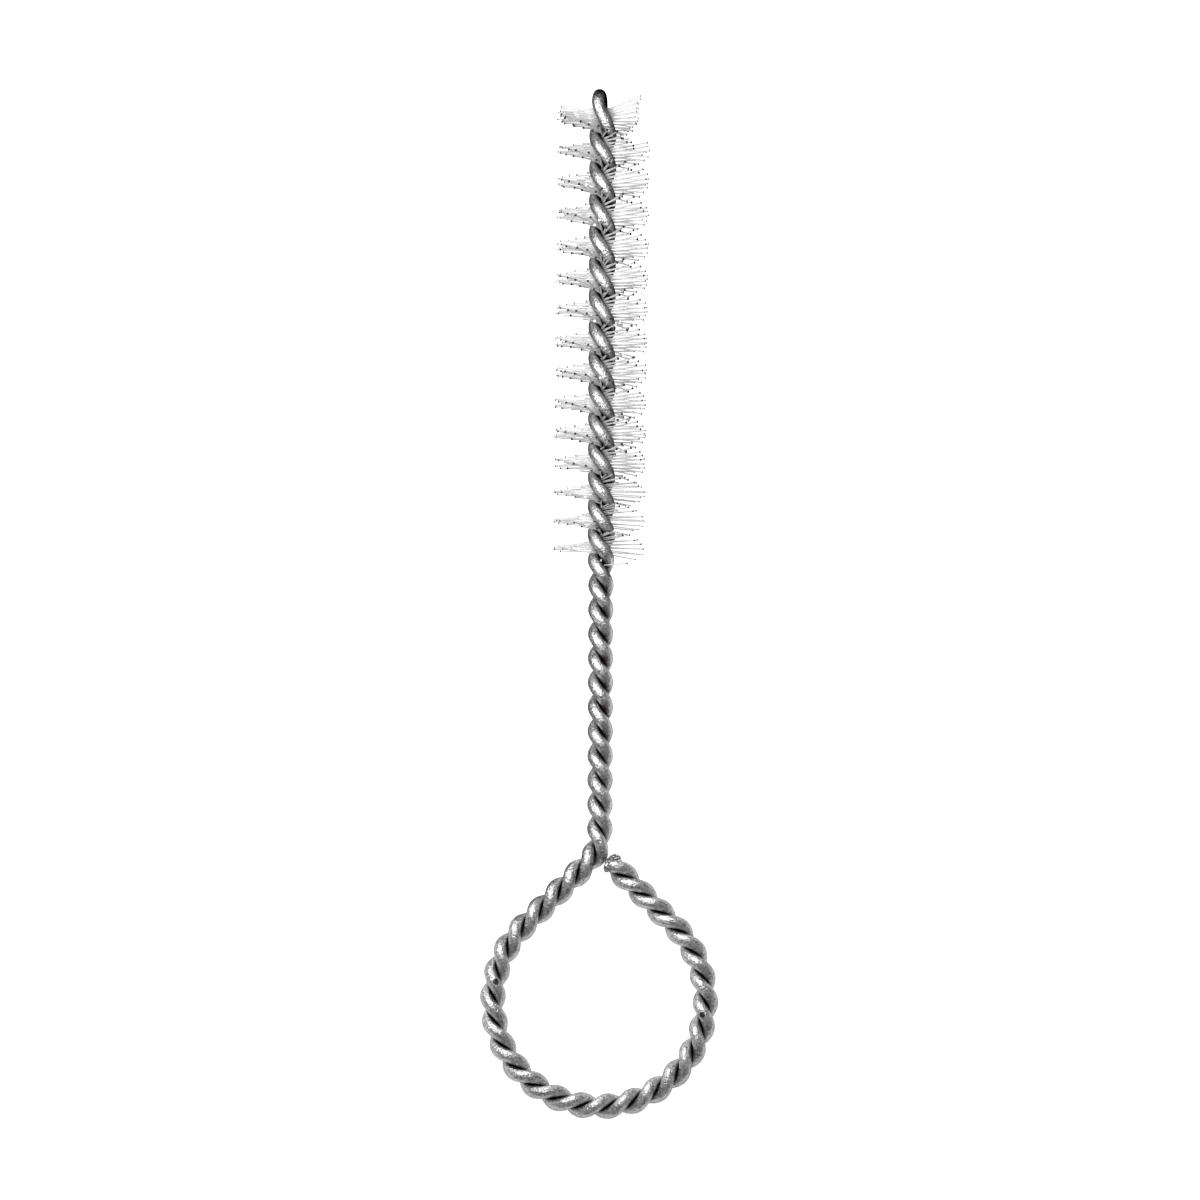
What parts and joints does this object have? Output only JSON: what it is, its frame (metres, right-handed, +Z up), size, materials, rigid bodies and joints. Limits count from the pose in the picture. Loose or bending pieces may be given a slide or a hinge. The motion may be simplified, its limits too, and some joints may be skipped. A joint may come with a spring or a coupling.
{
  "type": "collet cleaning brush",
  "caption": "Slim cleaning brush: straight bristles nipped between the legs of a doubled, twisted wire, whose bare end is bent round into a finger ring.",
  "frame": {"origin": "centre of the bounding box's bottom face: on the bench that the brush lies on, midway between the tip and the ring's far side", "axes": "+Y from the ring towards the bristled tip, +Z up from the bench, +X to the right as seen from above with the tip away from the viewer"},
  "size_m": [0.032, 0.1393, 0.0161],
  "materials": {
    "steel_wire": "galvanised, satin, finely mottled",
    "nylon_bristle": "clear natural nylon"
  },
  "bodies": {
    "root": {"twisted_wire": "steel_wire", "bristle_tuft_01": "nylon_bristle", "bristle_tuft_02": "nylon_bristle", "bristle_tuft_03": "nylon_bristle", "bristle_tuft_04": "nylon_bristle", "bristle_tuft_05": "nylon_bristle", "bristle_tuft_06": "nylon_bristle", "bristle_tuft_07": "nylon_bristle", "bristle_tuft_08": "nylon_bristle", "bristle_tuft_09": "nylon_bristle", "bristle_tuft_10": "nylon_bristle", "bristle_tuft_11": "nylon_bristle", "bristle_tuft_12": "nylon_bristle", "bristle_tuft_13": "nylon_bristle", "bristle_tuft_14": "nylon_bristle", "bristle_tuft_15": "nylon_bristle"}
  },
  "joints": []
}
